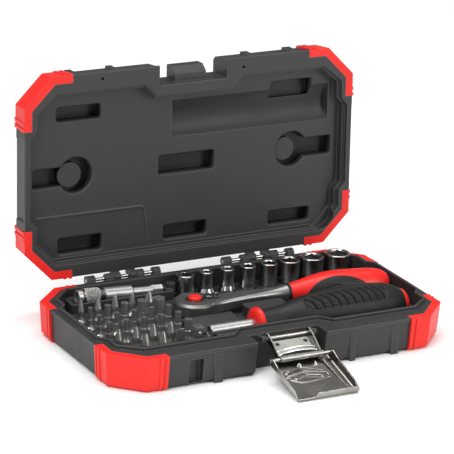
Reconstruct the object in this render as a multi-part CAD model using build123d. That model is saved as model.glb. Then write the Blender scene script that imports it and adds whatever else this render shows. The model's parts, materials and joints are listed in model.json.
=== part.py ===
from build123d import *
import os
from math import cos, radians, sin, sqrt

# Socket wrench set in a hinged plastic case, millimetres.
# X runs along the hinge line, Y points back to the hinge, Z is up.
# The origin is on the underside of the base, at the middle of the case's outline.
# The rest pose is the open case with its latch hanging open and every tool seated.

os.makedirs("parts", exist_ok=True)

# ---------------------------------------------------------------- case
case_width = 256.0
case_depth = 143.4
corner_cut = 20.5
base_height = 24.3
lid_height = 21.0
closed_height = base_height + lid_height
wall_set_back = 1.0
foot_bevel = 2.6
draft_inset = 1.6
guard_thickness = 2.0
guard_flange = 5.6
guard_flange_thickness = 1.4
guard_end_x = 92.0
guard_end_y = 35.0
guard_rib_height = 0.8
guard_rib_width = 2.2
guard_rib_gap = 1.9
tray_level = 13.0
floor_skin = 2.2
lid_panel_depth = 9.0
lid_slot_depth = 18.0
slot_flare = 0.9
rim_band_height = 2.2
rim_band_inset = 0.3
lip_height = 2.8
lip_width = 1.8
lip_gap = 0.4
ridge_width = 1.2
ridge_height = 0.9

# half sizes of the cavity that base and lid share, with its jogs
cavity_mid_x = 122.0
cavity_corner_x = 117.0
cavity_front_y = -56.7
cavity_back_y = 60.0
cavity_jog_y = -47.8
cavity_chamfer_x = 103.0
cavity_chamfer_y = 45.5
side_jog_y = 34.0
side_jog_run = 5.5

# ---------------------------------------------------------------- hinge and latch
hinge_y = 75.8
hinge_z = base_height
open_angle = 92.7
knuckle_radius = 3.3
hinge_pin_radius = 1.3
pin_clearance = 0.05
knuckle_starts = (-81.5, -60.8, -43.2)
knuckle_ends = (-61.2, -43.6, -25.0)
hinge_group_shift = 107.0

recess_half_width = 26.2
recess_back_y = -57.6
latch_pivot = (-65.0, 23.4)
latch_plate_reach = 20.3
latch_plate_drop = 23.6
hasp_reach = 40.0
hasp_drop = 15.0
steel = 1.0
plate_half_width = 16.2
hasp_half_width = 23.2
hasp_depth = 5.0
latch_pin_radius = 1.25
catch_half_width = 12.0

# ---------------------------------------------------------------- tools
square_drive = 6.35
hex_shank = 6.35
bit_length = 25.0
bit_bottom_z = 5.0
bit_first_x = -107.5
bit_pitch_x = 12.85
bit_first_y = 29.4
bit_pitch_y = 14.4
socket_length = 25.0
socket_bottom_z = 4.2
socket_row_y = 51.0
tool_gap = 0.35

ratchet_head = (-27.1, 17.2)
ratchet_turn = -3.68
ratchet_head_radius = 14.6
ratchet_head_low_z = 14.0
ratchet_head_high_z = 24.0
ratchet_axis_z = 20.3

driver_axis = (-30.5, 19.6)
driver_collar_x = -3.0
driver_tip_x = -41.0
extension_axis = (53.0, 21.4)
extension_middle_x = -67.0
extension_tilt = 2.6
ratchet_shank_end = 69.2


def polygon(points):
    return make_face(Polyline(*points, close=True))


def prism(points, low, high):
    """Upright prism over a plan outline."""
    return extrude(Pos(0, 0, low) * polygon(points), high - low)


def frustum(low_points, low, high_points, high):
    """Straight-sided solid between two outlines with the same number of corners."""
    sections = [Pos(0, 0, low) * polygon(low_points), Pos(0, 0, high) * polygon(high_points)]
    return loft(sections, ruled=True)


def block(x0, x1, y0, y1, z0, z1):
    return Pos((x0 + x1) / 2, (y0 + y1) / 2, (z0 + z1) / 2) * Box(x1 - x0, y1 - y0, z1 - z0)


def rounded_block(x0, x1, y0, y1, z0, z1, radius):
    """Box with rounded upright corners."""
    plan = RectangleRounded(x1 - x0, y1 - y0, radius)
    return extrude(Pos((x0 + x1) / 2, (y0 + y1) / 2, z0) * plan, z1 - z0)


def upright(x, y, z0, z1, radius):
    return Pos(x, y, (z0 + z1) / 2) * Cylinder(radius, z1 - z0)


def along_x(x0, x1, y, z, radius):
    return Pos((x0 + x1) / 2, y, z) * Rot(0, 90, 0) * Cylinder(radius, x1 - x0)


def turned_x(profile, y, z):
    """Solid of revolution about an axis parallel to X; profile is (x, radius) pairs."""
    points = [(profile[0][0], 0)] + list(profile) + [(profile[-1][0], 0)]
    return Pos(0, y, z) * revolve(polygon(points), Axis.X)


def turned_z(profile, x, y):
    """Solid of revolution about an upright axis; profile is (radius, z) pairs."""
    points = [(0, profile[0][1])] + list(profile) + [(0, profile[-1][1])]
    face = make_face(Plane.XZ * Polyline(*points, close=True))
    return Pos(x, y, 0) * revolve(face, Axis.Z)


def hexagon(x, y, z0, z1, across_flats):
    plan = RegularPolygon(across_flats / 2, 6, major_radius=False)
    return extrude(Pos(x, y, z0) * plan, z1 - z0)


def octagon(inset):
    """Case outline moved inwards by inset, corner cuts kept parallel."""
    half_x = case_width / 2 - inset
    half_y = case_depth / 2 - inset
    cut = corner_cut - inset * (2 - sqrt(2))
    return [(half_x, cut - half_y), (half_x, half_y - cut), (half_x - cut, half_y),
            (cut - half_x, half_y), (-half_x, half_y - cut), (-half_x, cut - half_y),
            (cut - half_x, -half_y), (half_x - cut, -half_y)]


def cavity(grow=0.0):
    """Inner outline of base and lid: an octagon with side bays and a front jog behind the latch."""
    mid_x = cavity_mid_x + grow
    end_x = cavity_corner_x + grow
    front = cavity_front_y - grow
    back = cavity_back_y + grow
    jog = cavity_jog_y - grow
    cut = grow * 0.4
    right = [(cavity_chamfer_x + cut, front), (end_x, -cavity_chamfer_y - cut), (end_x, -side_jog_y),
             (mid_x, -side_jog_y + side_jog_run), (mid_x, side_jog_y - side_jog_run),
             (end_x, side_jog_y), (end_x, cavity_chamfer_y + cut), (cavity_chamfer_x + cut, back)]
    left = [(-x, y) for x, y in reversed(right)]
    notch = [(-36.0 - cut, front), (-27.5 - cut, jog), (31.0 + cut, jog), (38.5 + cut, front)]
    return right + left + notch


def case_form(heights_and_insets):
    """Stack of tapered slabs that makes an outer form."""
    form = None
    for (low, low_inset), (high, high_inset) in zip(heights_and_insets, heights_and_insets[1:]):
        slab = frustum(octagon(low_inset), low, octagon(high_inset), high)
        form = slab if form is None else form + slab
    return form


def base_form(inset):
    return case_form([(0, inset + draft_inset + foot_bevel), (foot_bevel, inset + draft_inset),
                      (base_height, inset)])


def lid_form(inset):
    """Lid form in the closed position."""
    top_bevel_z = closed_height - foot_bevel
    return case_form([(base_height, inset), (top_bevel_z, inset + draft_inset),
                      (closed_height, inset + draft_inset + foot_bevel)])


def open_lid(shape):
    """Swing a shape from the closed position to the open one about the hinge."""
    return shape.rotate(Axis((0, hinge_y, hinge_z), (-1, 0, 0)), open_angle)


# ---------------------------------------------------------------- corner guards
def corner_zone(sign_x, sign_y, z0, z1):
    """The two-sided region of one corner that a guard covers."""
    reach = case_width
    x0, x1 = sorted((sign_x * guard_end_x, sign_x * reach))
    y0, y1 = sorted((sign_y * guard_end_y, sign_y * reach))
    return block(x0, x1, y0, y1, z0, z1)


def rib_zones(sign_x, sign_y, z0, z1):
    """Two narrow bands at each end of a guard, for its raised ribs."""
    zones = []
    for step in range(2):
        shift = step * (guard_rib_width + guard_rib_gap)
        x0 = guard_end_x + shift
        y0 = guard_end_y + shift
        xs = sorted((sign_x * x0, sign_x * (x0 + guard_rib_width)))
        ys = sorted((sign_y * y0, sign_y * (y0 + guard_rib_width)))
        side_y = sorted((sign_y * (case_depth / 2 - corner_cut / 2), sign_y * case_depth))
        side_x = sorted((sign_x * (case_width / 2 - corner_cut / 2), sign_x * case_width))
        zones.append(block(xs[0], xs[1], side_y[0], side_y[1], z0, z1))
        zones.append(block(side_x[0], side_x[1], ys[0], ys[1], z0, z1))
    return zones


def guard_ring(form, low, high, rim_low, rim_high):
    """Full ring from which the four guards of one shell are cut."""
    skin = form(0.0) - form(guard_thickness)
    flange = prism(octagon(0.2), rim_low, rim_high) - prism(octagon(guard_flange), low, high)
    return skin + (flange & form(0.0))


def make_guard(ring, ribs_form, sign_x, sign_y, low, high):
    guard = ring & corner_zone(sign_x, sign_y, low, high)
    for zone in rib_zones(sign_x, sign_y, low, high):
        guard += ribs_form & zone
    return guard


# ---------------------------------------------------------------- base
bit_columns = [bit_first_x + bit_pitch_x * step for step in range(5)]
bit_rows = [bit_first_y - bit_pitch_y * step for step in range(6)]
adapter_place = (bit_columns[4], bit_rows[5])
# name, upright position, outer radius, hexagon across flats, drive end radius
sockets = [("socket_5_5_mm", -0.5, 4.5, 5.5, 5.9), ("socket_6_mm", 16.3, 4.8, 6.0, 5.9),
           ("socket_7_mm", 32.6, 5.4, 7.0, 5.9), ("socket_8_mm", 49.3, 6.1, 8.0, 6.1),
           ("socket_10_mm", 65.9, 7.3, 10.0, 7.0), ("socket_12_mm", 84.0, 8.4, 12.0, 7.8),
           ("socket_13_mm", 105.0, 9.0, 13.0, 8.2)]
holder_x = -17.0
holder_radius = 6.2


def latch_recess(low, high):
    return block(-recess_half_width, recess_half_width, -case_depth, recess_back_y, low, high)


def knuckle(x0, x1, web_low, web_high, wall_y, bore_radius):
    """Hinge barrel on a web, with an open window between barrel and wall."""
    barrel = along_x(x0, x1, hinge_y, hinge_z, knuckle_radius)
    web = block(x0, x1, wall_y, hinge_y, web_low, web_high)
    window_x0 = x0 + (x1 - x0) * 0.3
    window_x1 = x0 + (x1 - x0) * 0.72
    window = block(window_x0, window_x1, wall_y + 2.6, hinge_y + knuckle_radius * 2,
                   hinge_z - 2 * knuckle_radius, hinge_z + 2 * knuckle_radius)
    return (barrel + web) - window - along_x(x0 - 1, x1 + 1, hinge_y, hinge_z, bore_radius)


def ratchet_place(shape):
    return Pos(ratchet_head[0], ratchet_head[1], 0) * Rot(0, 0, ratchet_turn) * shape


def ratchet_pocket():
    """Well for the head, slot for the shaft and trough for the handle of the ratchet."""
    head = upright(0, 0, ratchet_head_low_z - 1.0, base_height, ratchet_head_radius + 0.7)
    drive = upright(0, 0, floor_skin + 0.4, ratchet_head_low_z, 6.0)
    shaft = block(0, 74, -8.6, 8.6, 12.5, base_height)
    handle = along_x(ratchet_shank_end, 149.1, 0, ratchet_axis_z, 12.9)
    handle += block(ratchet_shank_end, 149.1, -12.9, 12.9, ratchet_axis_z, base_height)
    return ratchet_place(head + drive + shaft + handle)


def driver_pocket():
    """Trough for the grip, slot for the shaft and clearance for the collar of the driver."""
    y, z = driver_axis
    grip = along_x(-11.0, 115.0, y, z, 17.25)
    grip += block(-11.0, 115.0, y - 17.25, y + 16.5, z, base_height)
    shaft = along_x(-46.5, -10.0, y, z, 5.0)
    shaft += block(-46.5, -10.0, y - 5.0, y + 5.0, z, base_height)
    return grip + shaft


def extension_place(shape):
    """Tip a shape about the middle of the extension, sleeve end up, as it lies in its cradle."""
    return shape.rotate(Axis((extension_middle_x, *extension_axis), (0, 1, 0)), extension_tilt)


def extension_pocket():
    y, z = extension_axis
    cradle = along_x(-104.0, -33.0, y, z, 6.2)
    return extension_place(cradle + block(-104.0, -33.0, y - 6.2, y + 6.2, z, 2 * base_height))


def upright_wells():
    """Blind wells that hold the bits, the square adapter, the sockets and the bit holder."""
    wells = []
    clear_top = base_height + lip_height + 1
    for row in range(6):
        columns = bit_columns if row < 5 else bit_columns[1:]
        for x in columns:
            well = hexagon(x, bit_rows[row], bit_bottom_z - tool_gap, tray_level + 1,
                           hex_shank + 2 * tool_gap)
            wells.append(well)
    for _, x, radius, _, drive_radius in sockets:
        well_radius = max(radius, drive_radius) + 0.6
        wells.append(upright(x, socket_row_y, socket_bottom_z - tool_gap, clear_top, well_radius))
    wells.append(upright(holder_x, socket_row_y, socket_bottom_z - tool_gap, clear_top,
                         holder_radius + 0.6))
    return wells


def base_tray():
    """Raised holders that stand in the cavity: extension cradle, head block and shaft bridge."""
    y, z = driver_axis
    saddle_ext = rounded_block(-106.0, -28.0, 45.5, 59.9, tray_level - 1, 20.5, 2.0)
    sloping_end = [(-1.5, tray_level - 1), (-1.5, 19.0), (-5.0, 19.0), (-21.0, 15.6),
                   (-22.5, tray_level - 1)]
    sloping_face = make_face(Plane.YZ * Polyline(*sloping_end, close=True))
    head_block = Pos(-47.0, 0, 0) * extrude(sloping_face, 38.0)
    bridge = rounded_block(2.0, 32.0, -12.8, 3.4, tray_level - 1, 21.5, 2.5)
    cradle = rounded_block(-38.0, -22.0, y - 9.0, y + 9.0, tray_level - 1, 19.0, 1.5)
    spine = rounded_block(36.0, 112.0, -14.2, -3.6, tray_level - 1, 18.5, 2.5)
    post = upright(-27.8, 52.5, tray_level - 1, 24.0, 3.2)
    return [saddle_ext, head_block, bridge, cradle, spine, post]


def front_wall_relief():
    """Hollows pressed into the front wall of the base."""
    front = -case_depth / 2
    deep = rounded_block(-76.0, -65.5, front - 4, front + 7.0, 2.0, 18.5, 0.8)
    return [deep]


def front_wall_ribs(low, high, places):
    """Narrow raised ribs on the front wall; each place is (centre x, half width)."""
    front = -case_depth / 2 + wall_set_back
    return [block(x - half, x + half, front - 0.1, front + 4.0, low, high) for x, half in places]


def make_base(guards):
    base = base_form(wall_set_back)
    for rib in front_wall_ribs(0.0, base_height - 4.0, ((-54.5, 3.0), (47.5, 2.0), (80.5, 2.6))):
        base += rib
    base += prism(octagon(rim_band_inset), base_height - rim_band_height, base_height)
    base += prism(cavity(lip_width), base_height - 1, base_height + lip_height)
    base -= prism(cavity(), tray_level, base_height + lip_height + 1)
    for raised in base_tray():
        base += raised
    for well in upright_wells():
        base -= well
    base -= ratchet_pocket()
    base -= driver_pocket()
    base -= extension_pocket()
    base -= latch_recess(-1, base_height + lip_height + 1)
    for hollow in front_wall_relief():
        base -= hollow
    y, z = latch_pivot
    for side in (-1, 1):
        x0, x1 = sorted((side * 17.4, side * 20.6))
        lug = block(x0, x1, y, recess_back_y + 0.5, z - 2.2, z + 0.8) + along_x(x0, x1, y, z, 2.2)
        base += lug
        base -= along_x(x0 - 1, x1 + 1, y, z, latch_pin_radius)
    for guard in guards:
        base -= guard
    for shift in (0.0, hinge_group_shift):
        for place in (0, 2):
            base += knuckle(knuckle_starts[place] + shift, knuckle_ends[place] + shift,
                            base_height - 5.5, base_height - 0.3, case_depth / 2 - 2.5,
                            hinge_pin_radius)
    return base


# ---------------------------------------------------------------- lid, made closed
lid_slots = ((-100.0, -66.5, -46.9, -37.3), (-21.5, 22.0, -4.4, 8.8), (-17.0, 17.0, 46.2, 56.2),
             (-98.6, -65.0, 46.0, 57.2), (67.0, 100.0, 46.4, 56.0), (66.5, 99.0, -48.8, -36.0))
keyholes = ((-85.4, -117.7, -89.2, 8.8), (83.9, 116.2, 79.2, 8.2))
keyhole_y = 1.8
keyhole_radius = 12.6
rim_holes = ((-69.6, -66.6), (39.4, -64.4))


def flared_slot(x0, x1, y0, y1, low, high, radius):
    """Slot cutter whose mouth at the low end widens at forty-five degrees."""
    place = Pos((x0 + x1) / 2, (y0 + y1) / 2, 0)
    wide = RectangleRounded(x1 - x0 + 2 * slot_flare, y1 - y0 + 2 * slot_flare, radius + slot_flare)
    plan = RectangleRounded(x1 - x0, y1 - y0, radius)
    mouth = loft([Pos(0, 0, low) * wide, Pos(0, 0, low + slot_flare) * plan])
    return place * (mouth + extrude(Pos(0, 0, low) * plan, high - low))


def flared_bore(x, y, low, high, radius):
    profile = [(radius + slot_flare, low - 1), (radius + slot_flare, low), (radius, low + slot_flare),
               (radius, high)]
    return turned_z(profile, x, y)


def keyhole(centre_x, slot_end_x, boss_x, boss_radius):
    """Round hollow with a slot to one side and a low boss inside."""
    low = base_height + lid_panel_depth
    high = base_height + lid_slot_depth
    hollow = flared_bore(centre_x, keyhole_y, low, high, keyhole_radius)
    x0, x1 = sorted((centre_x, slot_end_x))
    hollow += flared_slot(x0, x1, keyhole_y - 6.7, keyhole_y + 6.5, low, high, 1.5)
    return hollow - upright(boss_x, keyhole_y, low + 2.6, high + 1, boss_radius)


def lid_handle_hollow():
    """Half-round hollow that clears the driver's grip."""
    radius = 18.6
    centre_z = 20.2
    hollow = along_x(-11.7, 113.0, driver_axis[0], centre_z, radius)
    return hollow - block(-20, 120, -80, 20, 0, base_height + lid_panel_depth - 0.5)


def largest_socket_relief():
    """Round hollow in the lid's rim that clears the top of the largest socket."""
    x, radius = sockets[-1][1:3]
    return upright(x, socket_row_y, base_height - 1, base_height + 7.0, radius + 1.5)


def zone_ridge():
    """Low ridge on the lid's inner panel around the zone over the extension."""
    centre_line = [(-116.0, 29.6), (-34.5, 29.8), (-32.0, 33.0), (-29.5, 55.0)]
    panel_z = base_height + lid_panel_depth
    ridge = None
    for (x0, y0), (x1, y1) in zip(centre_line, centre_line[1:]):
        length = sqrt((x1 - x0) ** 2 + (y1 - y0) ** 2)
        side_x = (y1 - y0) / length * ridge_width / 2
        side_y = (x0 - x1) / length * ridge_width / 2
        corners = [(x0 - side_x, y0 - side_y), (x1 - side_x, y1 - side_y),
                   (x1 + side_x, y1 + side_y), (x0 + side_x, y0 + side_y)]
        stretch = prism(corners, panel_z - ridge_height, panel_z + 0.5)
        stretch += upright(x1, y1, panel_z - ridge_height, panel_z + 0.5, ridge_width / 2)
        ridge = stretch if ridge is None else ridge + stretch
    return ridge


def make_lid(guards):
    lid = lid_form(wall_set_back)
    panel_z = base_height + lid_panel_depth
    slot_z = base_height + lid_slot_depth
    for rib in front_wall_ribs(base_height + 6.0, closed_height - foot_bevel,
                               ((-88.0, 2.2), (-57.0, 2.2), (48.5, 2.6), (82.4, 3.0))):
        lid += rib
    lid += prism(octagon(rim_band_inset), base_height, base_height + rim_band_height)
    for side_x in (-1, 1):
        for side_y in (-1, 1):
            x0, x1 = sorted((side_x * (case_width / 2 - 6), side_x * (case_width / 2 - 0.2)))
            y0, y1 = sorted((side_y * 28.5, side_y * guard_end_y))
            lid += block(x0, x1, y0, y1, base_height, base_height + 14.0)
    lid -= prism(cavity(), base_height - 1, panel_z)
    lid += zone_ridge()
    for x0, x1, y0, y1 in lid_slots:
        lid -= flared_slot(x0, x1, y0, y1, panel_z, slot_z, 2.0)
    for numbers in keyholes:
        lid -= keyhole(*numbers)
    for x, y in rim_holes:
        lid -= upright(x, y, base_height - 1, base_height + 3.5, 1.1)
    lid -= lid_handle_hollow()
    lid -= prism(cavity(lip_width + lip_gap), base_height - 1, base_height + lip_height + lip_gap)
    lid -= largest_socket_relief()
    lid -= latch_recess(base_height - 3, closed_height + 1)
    lid += make_catch()
    for guard in guards:
        lid -= guard
    for shift in (0.0, hinge_group_shift):
        lid += knuckle(knuckle_starts[1] + shift, knuckle_ends[1] + shift, base_height + 0.3,
                       base_height + 5.5, case_depth / 2 - 2.5, hinge_pin_radius + pin_clearance)
    return lid


def make_catch():
    """Block in the lid's front recess that the latch lip hooks over."""
    profile = [(recess_back_y + 1.0, 29.0), (-63.5, 29.0), (-67.6, 34.0), (-67.6, 41.6),
               (-66.4, 42.0), (recess_back_y + 1.0, 42.0)]
    face = make_face(Plane.YZ * Polyline(*profile, close=True))
    return extrude(face, catch_half_width, both=True)


def make_hinge_pins():
    pins = []
    for shift in (0.0, hinge_group_shift):
        pins.append(along_x(knuckle_starts[0] + shift, knuckle_ends[2] + shift, hinge_y, hinge_z,
                            hinge_pin_radius))
    return pins


# ---------------------------------------------------------------- latch
def latch_frame(shape, origin, drop):
    """Place a latch part drawn along -Y from the X axis, swung down by drop degrees."""
    return Pos(0, origin[0], origin[1]) * shape.rotate(Axis.X, drop)


def plate_end(origin, reach, drop):
    return (origin[0] - reach * cos(radians(drop)), origin[1] - reach * sin(radians(drop)))


def make_latch_plate():
    """Toggle plate: flat sheet with two side ears, two stamped holes and a rolled outer edge."""
    reach = latch_plate_reach
    sheet = block(-plate_half_width, plate_half_width, -reach + 0.6, -2.4, -2.2, -2.2 + steel)
    for x in (-10.6, 10.6):
        sheet -= upright(x, -5.6, -5, 5, 1.5)
    plate = sheet
    for side in (-1, 1):
        x0, x1 = sorted((side * plate_half_width, side * (plate_half_width - steel)))
        ear = [(3.2, -2.2), (3.2, 1.2), (1.6, 3.0), (-5.0, 3.0), (-reach + 2.5, 0.4),
               (-reach + 1.5, -2.2)]
        face = make_face(Plane.YZ * Polyline(*ear, close=True))
        plate += Pos(x0, 0, 0) * extrude(face, x1 - x0)
    knuckle_roll = along_x(-plate_half_width, plate_half_width, -reach, 0, 2.2)
    plate += knuckle_roll
    plate -= along_x(-30, 30, -reach, 0, latch_pin_radius + pin_clearance)
    plate -= along_x(-30, 30, 0, 0, latch_pin_radius + pin_clearance)
    return latch_frame(plate, latch_pivot, latch_plate_drop)


def make_hasp():
    """Channel-section hasp with a hooked end lip and a pressed spring tongue inside."""
    low = -hasp_depth
    end = -hasp_reach
    half = hasp_half_width
    hasp = block(-half, half, end, -1.5, low, low + steel)
    for side in (-1, 1):
        x0, x1 = sorted((side * half, side * (half - steel)))
        flange = [(2.4, -1.6), (1.6, 1.8), (-1.8, 2.4), (-9.0, 1.0), (end + 3.0, 0.4),
                  (end, -1.2), (end, low), (-1.5, low)]
        face = make_face(Plane.YZ * Polyline(*flange, close=True))
        hasp += Pos(x0, 0, 0) * extrude(face, x1 - x0)
    lip = block(-half, half, end, end + steel, low, 0.4)
    lip -= block(-half + 4.0, -half + 13.0, end - 1, end + 2, low + steel + 0.6, 2)
    hasp += lip
    tongue = [(-7.0, low + steel), (-10.0, low + 2.6), (-15.0, low + 3.2), (-20.0, low + 1.8),
              (-23.0, low + steel)]
    face = make_face(Plane.YZ * Polyline(*tongue, close=True))
    hasp += extrude(face, 11.0, both=True)
    hasp -= along_x(-30, 30, 0, 0, latch_pin_radius)
    origin = plate_end(latch_pivot, latch_plate_reach, latch_plate_drop)
    return latch_frame(hasp, origin, hasp_drop)


def make_latch_pins():
    base_pin = along_x(-20.6, 20.6, latch_pivot[0], latch_pivot[1], latch_pin_radius)
    y, z = plate_end(latch_pivot, latch_plate_reach, latch_plate_drop)
    joint_pin = along_x(-hasp_half_width - 0.8, hasp_half_width + 0.8, y, z, latch_pin_radius)
    return base_pin, joint_pin


# ---------------------------------------------------------------- bits
def bit_body(x, y, neck_radius, neck_top):
    """Hexagon shank with a turned neck; the tip is added above neck_top."""
    low = bit_bottom_z
    shank = hexagon(x, y, low, low + 11.0, hex_shank)
    taper = turned_z([(hex_shank / 2 + 0.5, low + 9.6), (neck_radius + 0.5, low + 11.4),
                      (neck_radius, low + 13.4), (neck_radius, neck_top)], x, y)
    trim = turned_z([(3.2, low), (3.9, low + 0.8), (3.9, low + 9.2), (2.6, low + 11.6),
                     (2.6, low + 12.0)], x, y)
    return (shank & trim) + taper


def cross_bit(x, y, size):
    """Cross-head tip: a cone with four flutes."""
    top = bit_bottom_z + bit_length
    radius = 2.1 + 0.36 * size
    neck = radius - 0.5
    bit = bit_body(x, y, neck, top - 10.6)
    bit += turned_z([(neck, top - 11.0), (radius, top - 9.4), (radius, top - 7.4), (0.7, top)], x, y)
    for quarter in range(4):
        flute = Rot(0, 0, 45 + 90 * quarter) * Pos(2.2, 0, 0) * Rot(0, -16, 0) * Rot(0, 0, 45)
        flute *= Box(2.8, 2.8, 20)
        bit -= Pos(x, y, top) * flute
    return bit


def key_bit(x, y, flats):
    """Hexagon key tip of the given size across flats."""
    top = bit_bottom_z + bit_length
    bit = bit_body(x, y, min(flats * 0.6, 3.1), top - 8.5)
    return bit + hexagon(x, y, top - 9.8, top, flats)


def star_bit(x, y, radius):
    """Six-lobed tip."""
    top = bit_bottom_z + bit_length
    bit = bit_body(x, y, min(radius * 1.2, 3.0), top - 8.0)
    lobe_radius = radius * 0.22
    plan = Circle(radius * 0.8)
    for lobe in range(6):
        plan += Rot(0, 0, 60 * lobe) * Pos(radius - lobe_radius, 0, 0) * Circle(lobe_radius)
    return bit + Pos(x, y, top - 8.5) * extrude(plan, 8.5)


def blade_bit(x, y, radius, thickness):
    """Round neck ground flat on two sides, each flat ending in a half round."""
    top = bit_bottom_z + bit_length
    bit = bit_body(x, y, radius, top - 1.0)
    bit += upright(x, y, top - 2.0, top, radius)
    flat_low = top - 12.0 + radius
    for side in (-1, 1):
        y0, y1 = sorted((y + side * thickness / 2, y + side * 2 * radius))
        bit -= block(x - 2 * radius, x + 2 * radius, y0, y1, flat_low, top + 1)
        round_end = Cylinder(radius + 0.2, y1 - y0)
        bit -= Pos(x, (y0 + y1) / 2, flat_low) * Rot(90, 0, 0) * round_end
    return bit


def make_bit_rows():
    """One group of separate bits for each row, back to front."""
    rows = {}
    for step, name in enumerate(("bits_cross_head", "bits_hexagon_key", "bits_star_small",
                                 "bits_star_middle", "bits_mixed_row")):
        y = bit_rows[step]
        if step == 0:
            rows[name] = [cross_bit(x, y, size) for x, size in zip(bit_columns, (1, 2, 2, 1, 3))]
        elif step == 1:
            sizes = (3.0, 4.0, 5.0, 6.0, 8.0)
            rows[name] = [key_bit(x, y, flats) for x, flats in zip(bit_columns, sizes)]
        elif step == 4:
            rows[name] = [cross_bit(x, y, size) for x, size in zip(bit_columns, (2, 2, 3, 3))]
            rows[name].append(star_bit(bit_columns[4], y, 2.6))
        else:
            first = (1.5, 1.8)[step - 2]
            rows[name] = [star_bit(x, y, first + 0.16 * column)
                          for column, x in enumerate(bit_columns)]
    y = bit_rows[5]
    rows["bits_front_row"] = [cross_bit(bit_columns[1], y, 3), cross_bit(bit_columns[2], y, 3),
                              blade_bit(bit_columns[3], y, 2.8, 1.2)]
    return rows


def make_adapter():
    """Hexagon shank with a square drive on top and a detent ball in one face."""
    x, y = adapter_place
    top = bit_bottom_z + bit_length
    body = hexagon(x, y, bit_bottom_z, top - 9.0, hex_shank)
    body += turned_z([(3.6, top - 13.0), (4.6, top - 11.5), (4.6, top - 9.0)], x, y)
    square = Pos(x, y, top - 4.8) * Box(square_drive, square_drive, 9.6)
    square = chamfer(square.edges().filter_by(Axis.Z), 0.6)
    ball = Pos(x, y - square_drive / 2 + 0.6, top - 4.2) * Sphere(1.5)
    return (body + square) - ball, ball


# ---------------------------------------------------------------- sockets
def make_socket(x, radius, flats, drive_radius):
    """Hexagon mouth on top, square drive hole below, waisted where the mouth is small."""
    low = socket_bottom_z
    top = low + socket_length
    waist_z = low + 13.0
    edge = 0.5
    profile = [(drive_radius - edge, low), (drive_radius, low + edge), (drive_radius, low + 10.0),
               (radius, waist_z), (radius, top - edge), (radius - edge, top)]
    body = turned_z(profile, x, socket_row_y)
    body -= hexagon(x, socket_row_y, top - 11.0, top + 1, flats + 0.1)
    mouth = flats * 0.577 + 0.3
    body -= turned_z([(mouth - 1.0, top - 1.0), (mouth, top - 0.2), (mouth, top + 0.5)],
                     x, socket_row_y)
    body -= Pos(x, socket_row_y, low + 4.0) * Box(square_drive + 0.1, square_drive + 0.1, 8.5)
    return body - upright(x, socket_row_y, low + 4.0, top - 10.0, 2.2)


def make_bit_holder():
    """Short holder: square drive hole below and a hexagon bit hole above."""
    low = socket_bottom_z
    top = low + socket_length
    radius = holder_radius
    body = turned_z([(radius - 0.5, low), (radius, low + 0.5), (radius, top - 0.5),
                     (radius - 0.5, top)], holder_x, socket_row_y)
    body -= hexagon(holder_x, socket_row_y, top - 10.0, top + 1, hex_shank + 0.1)
    body -= Pos(holder_x, socket_row_y, low + 4.0) * Box(square_drive + 0.1, square_drive + 0.1, 8.5)
    magnet = upright(holder_x, socket_row_y, top - 12.5, top - 10.0, 2.6)
    return body - magnet, magnet


# ---------------------------------------------------------------- ratchet, drawn about its head
gear_radius = 7.4
gear_teeth = 24
gear_low_z = 15.6
gear_high_z = 22.4
pawl_pivot_x = 10.3
pawl_gap = 0.9


# along, half width, half height, middle height, corner radius
ratchet_shank_stations = ((9.0, 11.6, 4.5, 19.1, 1.6), (26.0, 7.6, 4.3, 19.3, 2.2),
                          (46.0, 6.0, 4.4, 20.0, 2.8), (60.0, 5.2, 4.9, 20.2, 4.4),
                          (ratchet_shank_end, 6.3, 6.3, ratchet_axis_z, 6.1))


def make_ratchet_body():
    """Round head with a tapering flat shank that ends in a round tang inside the handle."""
    low = ratchet_head_low_z
    high = ratchet_head_high_z
    radius = ratchet_head_radius
    head = turned_z([(radius - 1.2, low), (radius, low + 1.2), (radius, high - 1.6),
                     (radius - 1.6, high)], 0, 0)
    sections = [Pos(x, 0, z) * Rot(0, 90, 0) * RectangleRounded(2 * half_z, 2 * half_y, corner)
                for x, half_y, half_z, z, corner in ratchet_shank_stations]
    shank = loft(sections)
    tang = along_x(ratchet_shank_end - 0.5, 112.0, 0, ratchet_axis_z, 3.4)
    body = head + shank + tang
    body -= upright(0, 0, gear_low_z - 0.3, gear_high_z + 0.3, gear_radius + 0.35)
    body -= upright(0, 0, low - 1, high + 1, 6.6)
    slot = block(2.0, 13.8, -4.6, 4.6, gear_low_z - 0.3, gear_high_z + 0.3)
    body -= slot & upright(pawl_pivot_x - 2.0, 0, low, high, 6.4)
    body -= upright(pawl_pivot_x, 0, gear_low_z, high + 1, 1.9)
    return body


def make_drive_gear():
    """Toothed wheel with the square drive below and a bore for the release button."""
    plan = Circle(gear_radius - 0.9)
    for tooth in range(gear_teeth):
        turn = 360 / gear_teeth * tooth
        plan += Rot(0, 0, turn) * polygon([(gear_radius - 1.4, -0.75), (gear_radius, 0.0),
                                           (gear_radius - 1.4, 0.75)])
    gear = Pos(0, 0, gear_low_z) * extrude(plan, gear_high_z - gear_low_z)
    gear += upright(0, 0, ratchet_head_low_z, ratchet_head_high_z + 0.2, 6.3)
    square = Pos(0, 0, ratchet_head_low_z - 4.4) * Box(square_drive, square_drive, 9.4)
    gear += chamfer(square.edges().filter_by(Axis.Z), 0.6)
    gear -= upright(0, 0, ratchet_head_high_z - 5.0, ratchet_head_high_z + 1, 4.75)
    gear -= upright(0, 0, ratchet_head_low_z - 7.2, ratchet_head_high_z, 1.3)
    return gear - drive_ball()


def drive_ball():
    return Pos(0, -square_drive / 2 + 0.6, ratchet_head_low_z - 4.2) * Sphere(1.3)


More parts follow.
